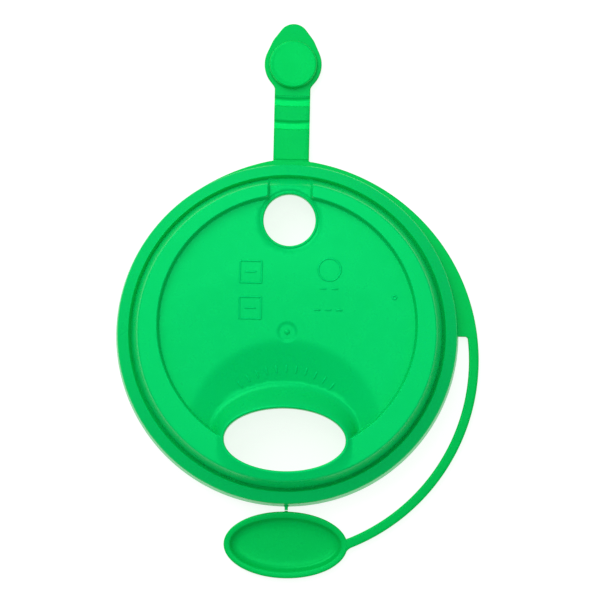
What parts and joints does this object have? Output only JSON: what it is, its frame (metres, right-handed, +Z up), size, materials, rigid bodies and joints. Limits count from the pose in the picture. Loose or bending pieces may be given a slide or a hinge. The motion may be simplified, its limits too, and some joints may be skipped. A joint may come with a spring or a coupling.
{
  "type": "drinks cup lid",
  "caption": "Green push-on takeaway cup lid with a straw hole, an oval sip hole, a fold-over stopper on a strap and an oval plug on a curved tether.",
  "frame": {"origin": "on the lid's axis, in the plane of the skirt's bottom edge", "axes": "+Z up out of the cup, +Y towards the straw hole and stopper strap, -Y towards the sip hole, +X to the tether's side"},
  "size_m": [0.1001, 0.1534, 0.0148],
  "materials": {
    "lid_green": "satin",
    "strap_green": "satin",
    "mark_green": "satin"
  },
  "bodies": {
    "lid": {"rim_skirt": "lid_green", "sealing_wall": "lid_green", "raised_ring": "lid_green", "top_panel": "lid_green", "sip_lip": "lid_green", "collar_slope": "lid_green", "straw_hole_lip": "lid_green", "gate_pip": "mark_green", "moulded_marks": "mark_green", "anchor_flange": "strap_green", "rim_nib": "lid_green"},
    "strap_riser": {"strap_riser": "strap_green"},
    "strap_bridge": {"strap_bridge": "strap_green"},
    "stopper": {"stopper_plate": "strap_green", "stopper_boss": "strap_green"},
    "tether_1": {"tether_link_1": "strap_green"},
    "tether_2": {"tether_link_2": "strap_green"},
    "tether_3": {"tether_link_3": "strap_green"},
    "tether_4": {"tether_link_4": "strap_green"},
    "tether_5": {"tether_link_5": "strap_green"},
    "tether_6": {"tether_link_6": "strap_green"},
    "tether_7": {"tether_link_7": "strap_green"},
    "tether_8": {"tether_link_8": "strap_green"},
    "sip_plug": {"plug_tail": "strap_green", "plug_flange": "strap_green", "plug_cup": "strap_green", "plug_nib": "strap_green"}
  },
  "joints": [
    {"name": "strap_fold_root", "type": "hinge", "parent": "lid", "child": "strap_riser", "pos_m": [0, 0.04984, 0.0026], "axis": [1, 0, 0], "range_deg": [0, 115.2]},
    {"name": "strap_fold_outer", "type": "hinge", "parent": "strap_riser", "child": "strap_bridge", "pos_m": [0, 0.05822, 0.00195], "axis": [1, 0, 0], "range_deg": [0, 44.1]},
    {"name": "strap_fold_inner", "type": "hinge", "parent": "strap_bridge", "child": "stopper", "pos_m": [0, 0.06467, 0.00195], "axis": [1, 0, 0], "range_deg": [0, 20.9]},
    {"name": "tether_bend_1", "type": "hinge", "parent": "lid", "child": "tether_1", "pos_m": [0.05102, 0.00017, 0.0021], "axis": [-0.4235, -0.6167, 0.6636], "range_deg": [0, 53.41]},
    {"name": "tether_bend_2", "type": "hinge", "parent": "tether_1", "child": "tether_2", "pos_m": [0.05147, -0.00814, 0.0021], "axis": [-0.894, -0.3124, 0.3212], "range_deg": [0, 54.47]},
    {"name": "tether_bend_3", "type": "hinge", "parent": "tether_2", "child": "tether_3", "pos_m": [0.05064, -0.01642, 0.0021], "axis": [-0.9895, 0.0634, 0.1301], "range_deg": [0, 62.04]},
    {"name": "tether_bend_4", "type": "hinge", "parent": "tether_3", "child": "tether_4", "pos_m": [0.04855, -0.02447, 0.0021], "axis": [-0.9902, 0.1277, 0.056], "range_deg": [0, 42.54]},
    {"name": "tether_bend_5", "type": "hinge", "parent": "tether_4", "child": "tether_5", "pos_m": [0.04525, -0.03211, 0.0021], "axis": [0.9799, -0.1714, -0.1019], "range_deg": [0, 22.57]},
    {"name": "tether_bend_6", "type": "hinge", "parent": "tether_5", "child": "tether_6", "pos_m": [0.04082, -0.03916, 0.0021], "axis": [0.9938, 0.0779, -0.0787], "range_deg": [0, 75.33]},
    {"name": "tether_bend_7", "type": "hinge", "parent": "tether_6", "child": "tether_7", "pos_m": [0.03537, -0.04544, 0.0021], "axis": [0.9701, 0.0852, -0.2271], "range_deg": [0, 66.13]},
    {"name": "tether_bend_8", "type": "hinge", "parent": "tether_7", "child": "tether_8", "pos_m": [0.02901, -0.05081, 0.0021], "axis": [0.6297, 0.1433, -0.7635], "range_deg": [0, 23.14]},
    {"name": "tether_bend_9", "type": "hinge", "parent": "tether_8", "child": "sip_plug", "pos_m": [0.02191, -0.05515, 0.0021], "axis": [-0.1612, 0.7506, -0.6408], "range_deg": [0, 38.88]}
  ],
  "couplings": [
    {"joint": "strap_fold_outer", "follows": "strap_fold_root", "ratio": 0.38194},
    {"joint": "strap_fold_inner", "follows": "strap_fold_root", "ratio": 0.18056},
    {"joint": "tether_bend_1", "follows": "tether_bend_6", "ratio": 0.7083},
    {"joint": "tether_bend_2", "follows": "tether_bend_6", "ratio": 0.72243},
    {"joint": "tether_bend_3", "follows": "tether_bend_6", "ratio": 0.82295},
    {"joint": "tether_bend_4", "follows": "tether_bend_6", "ratio": 0.56403},
    {"joint": "tether_bend_5", "follows": "tether_bend_6", "ratio": 0.29893},
    {"joint": "tether_bend_7", "follows": "tether_bend_6", "ratio": 0.87726},
    {"joint": "tether_bend_8", "follows": "tether_bend_6", "ratio": 0.3065},
    {"joint": "tether_bend_9", "follows": "tether_bend_6", "ratio": 0.51551}
  ]
}
